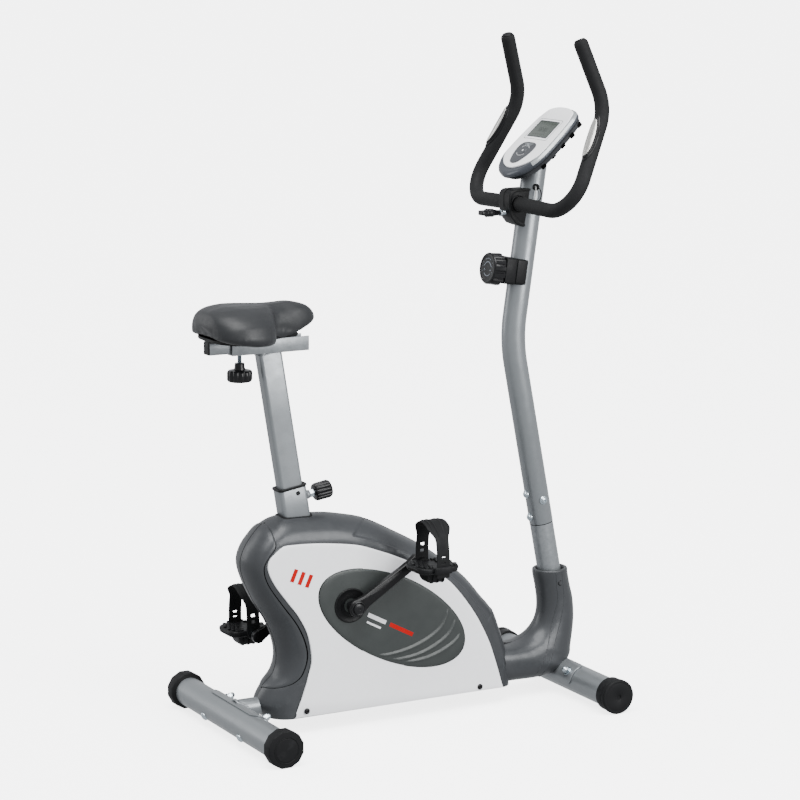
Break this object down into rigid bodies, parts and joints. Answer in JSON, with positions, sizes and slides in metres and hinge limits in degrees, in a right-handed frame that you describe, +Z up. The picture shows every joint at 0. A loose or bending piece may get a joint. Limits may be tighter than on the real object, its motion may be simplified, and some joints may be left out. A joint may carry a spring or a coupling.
{
  "type": "exercise bike",
  "caption": "Upright magnetic exercise bike with belt-driven flywheel in a moulded shell, strapped pedals, height-adjustable saddle, tilting handlebar, resistance dial and console.",
  "frame": {"origin": "on the floor, in the middle of the bike's length and width", "axes": "+X forward towards the handlebar, +Y to the rider's left, +Z up"},
  "size_m": [0.8604, 0.492, 1.3889],
  "materials": {
    "silver_paint": "satin metallic silver paint",
    "zinc": "bright zinc plating",
    "grey_shell": "semi-gloss moulded plastic",
    "white_panel": "semi-gloss moulded plastic",
    "black_plastic": "fine moulded texture",
    "black_steel": "black powder coat",
    "cast_iron": "turned and oiled",
    "rubber": "matt",
    "foam": "fine-celled matt foam",
    "vinyl": "soft stretched vinyl",
    "display": "clear window over a liquid-crystal display"
  },
  "bodies": {
    "frame": {"rear_stabiliser": "silver_paint", "front_stabiliser": "silver_paint", "main_beam": "silver_paint", "seat_tube": "silver_paint", "lower_post": "silver_paint", "upper_post": "silver_paint", "handlebar_clamp": "silver_paint", "rear_bolt_left": "zinc", "front_bolt_left": "zinc", "rear_bolt_right": "zinc", "front_bolt_right": "zinc", "post_bolt_rear_upper": "zinc", "post_bolt_rear_lower": "zinc", "post_bolt_side": "zinc", "crank_bearing_left": "zinc", "crank_bearing_right": "zinc", "seat_sleeve": "black_plastic", "front_cap_left": "black_plastic", "front_cap_right": "black_plastic", "clamp_cover": "black_plastic", "resistance_housing": "black_plastic", "flywheel_bracket": "black_steel", "drive_belt": "rubber", "tension_cable": "rubber", "shell_left": "grey_shell", "shell_right": "grey_shell", "rear_trim": "grey_shell", "boot_left": "grey_shell", "boot_right": "grey_shell", "console_housing": "grey_shell", "side_panel_left": "white_panel", "side_panel_right": "white_panel", "console_face": "white_panel", "console_lens": "display"},
    "crank": {"crank_axle": "zinc", "drive_pulley": "black_plastic", "crank_arm_left": "black_steel", "crank_arm_right": "black_steel"},
    "pedal_left": {"pedal_left": "black_plastic", "pedal_strap_left": "rubber"},
    "pedal_right": {"pedal_right": "black_plastic", "pedal_strap_right": "rubber"},
    "flywheel": {"flywheel": "cast_iron"},
    "magnet_bracket": {"magnet_bracket": "black_steel"},
    "seat_post": {"seat_post": "silver_paint"},
    "saddle": {"saddle_rail": "black_steel", "saddle": "vinyl"},
    "saddle_knob": {"saddle_knob": "black_plastic"},
    "height_knob": {"height_knob": "black_plastic"},
    "handlebar": {"handlebar": "black_steel", "grip_left": "foam", "grip_right": "foam"},
    "clamp_knob": {"clamp_knob": "black_plastic"},
    "resistance_knob": {"resistance_knob": "black_plastic"},
    "console_button": {"console_button": "grey_shell"},
    "wheel_left": {"transport_wheel_left": "rubber"},
    "wheel_right": {"transport_wheel_right": "rubber"},
    "rear_cap_left": {"rear_cap_left": "rubber"},
    "rear_cap_right": {"rear_cap_right": "rubber"}
  },
  "joints": [
    {"name": "crank_spin", "type": "hinge", "parent": "frame", "child": "crank", "pos_m": [-0.135, 0, 0.256], "axis": [0, 1, 0], "continuous": true},
    {"name": "pedal_left_spin", "type": "hinge", "parent": "crank", "child": "pedal_left", "pos_m": [-0.27142, 0.155, 0.1724], "axis": [0, 1, 0], "continuous": true},
    {"name": "pedal_right_spin", "type": "hinge", "parent": "crank", "child": "pedal_right", "pos_m": [0.00142, -0.155, 0.3396], "axis": [0, 1, 0], "continuous": true},
    {"name": "flywheel_spin", "type": "hinge", "parent": "frame", "child": "flywheel", "pos_m": [0.08, 0, 0.174], "axis": [0, 1, 0], "continuous": true},
    {"name": "resistance_turn", "type": "hinge", "parent": "frame", "child": "resistance_knob", "pos_m": [0.2138, 0, 0.9128], "axis": [-0.9896, 0, 0.1439], "range_deg": [0, 270]},
    {"name": "magnet_swing", "type": "hinge", "parent": "frame", "child": "magnet_bracket", "pos_m": [0.1785, 0, 0.155], "axis": [0, -1, 0], "range_deg": [0, 6]},
    {"name": "seat_height", "type": "slide", "parent": "frame", "child": "seat_post", "axis": [-0.1596, 0, 0.9872], "range_m": [-0.14, 0.05]},
    {"name": "saddle_slide", "type": "slide", "parent": "seat_post", "child": "saddle", "axis": [1, 0, 0], "range_m": [-0.014, 0.014]},
    {"name": "saddle_knob_turn", "type": "hinge", "parent": "saddle", "child": "saddle_knob", "pos_m": [-0.348, 0, 0.733], "axis": [0, 0, 1], "range_deg": [-360, 0]},
    {"name": "height_knob_pull", "type": "slide", "parent": "frame", "child": "height_knob", "axis": [0.9872, 0, 0.1596], "range_m": [0, 0.01], "stiffness_N_per_m": 800},
    {"name": "handlebar_tilt", "type": "hinge", "parent": "frame", "child": "handlebar", "pos_m": [0.276, 0, 1.0438], "axis": [0, 1, 0], "range_deg": [-30, 30]},
    {"name": "clamp_knob_turn", "type": "hinge", "parent": "frame", "child": "clamp_knob", "pos_m": [0.206, 0, 1.02704], "axis": [0.9992, 0, -0.0396], "range_deg": [-360, 0]},
    {"name": "button_press", "type": "slide", "parent": "frame", "child": "console_button", "axis": [0.6656, 0, -0.7463], "range_m": [0, 0.0012], "stiffness_N_per_m": 400},
    {"name": "wheel_left_spin", "type": "hinge", "parent": "frame", "child": "wheel_left", "pos_m": [0.3937, 0.2376, 0.0365], "axis": [0, 1, 0], "continuous": true},
    {"name": "wheel_right_spin", "type": "hinge", "parent": "frame", "child": "wheel_right", "pos_m": [0.3937, -0.2376, 0.0365], "axis": [0, 1, 0], "continuous": true},
    {"name": "rear_cap_left_turn", "type": "hinge", "parent": "frame", "child": "rear_cap_left", "pos_m": [-0.37, 0.231, 0.0365], "axis": [0, 1, 0], "range_deg": [-90, 90]},
    {"name": "rear_cap_right_turn", "type": "hinge", "parent": "frame", "child": "rear_cap_right", "pos_m": [-0.37, -0.231, 0.0365], "axis": [0, 1, 0], "range_deg": [-90, 90]}
  ],
  "couplings": [
    {"joint": "flywheel_spin", "follows": "crank_spin", "ratio": 6.2857},
    {"joint": "magnet_swing", "follows": "resistance_turn", "ratio": 0.022222}
  ]
}
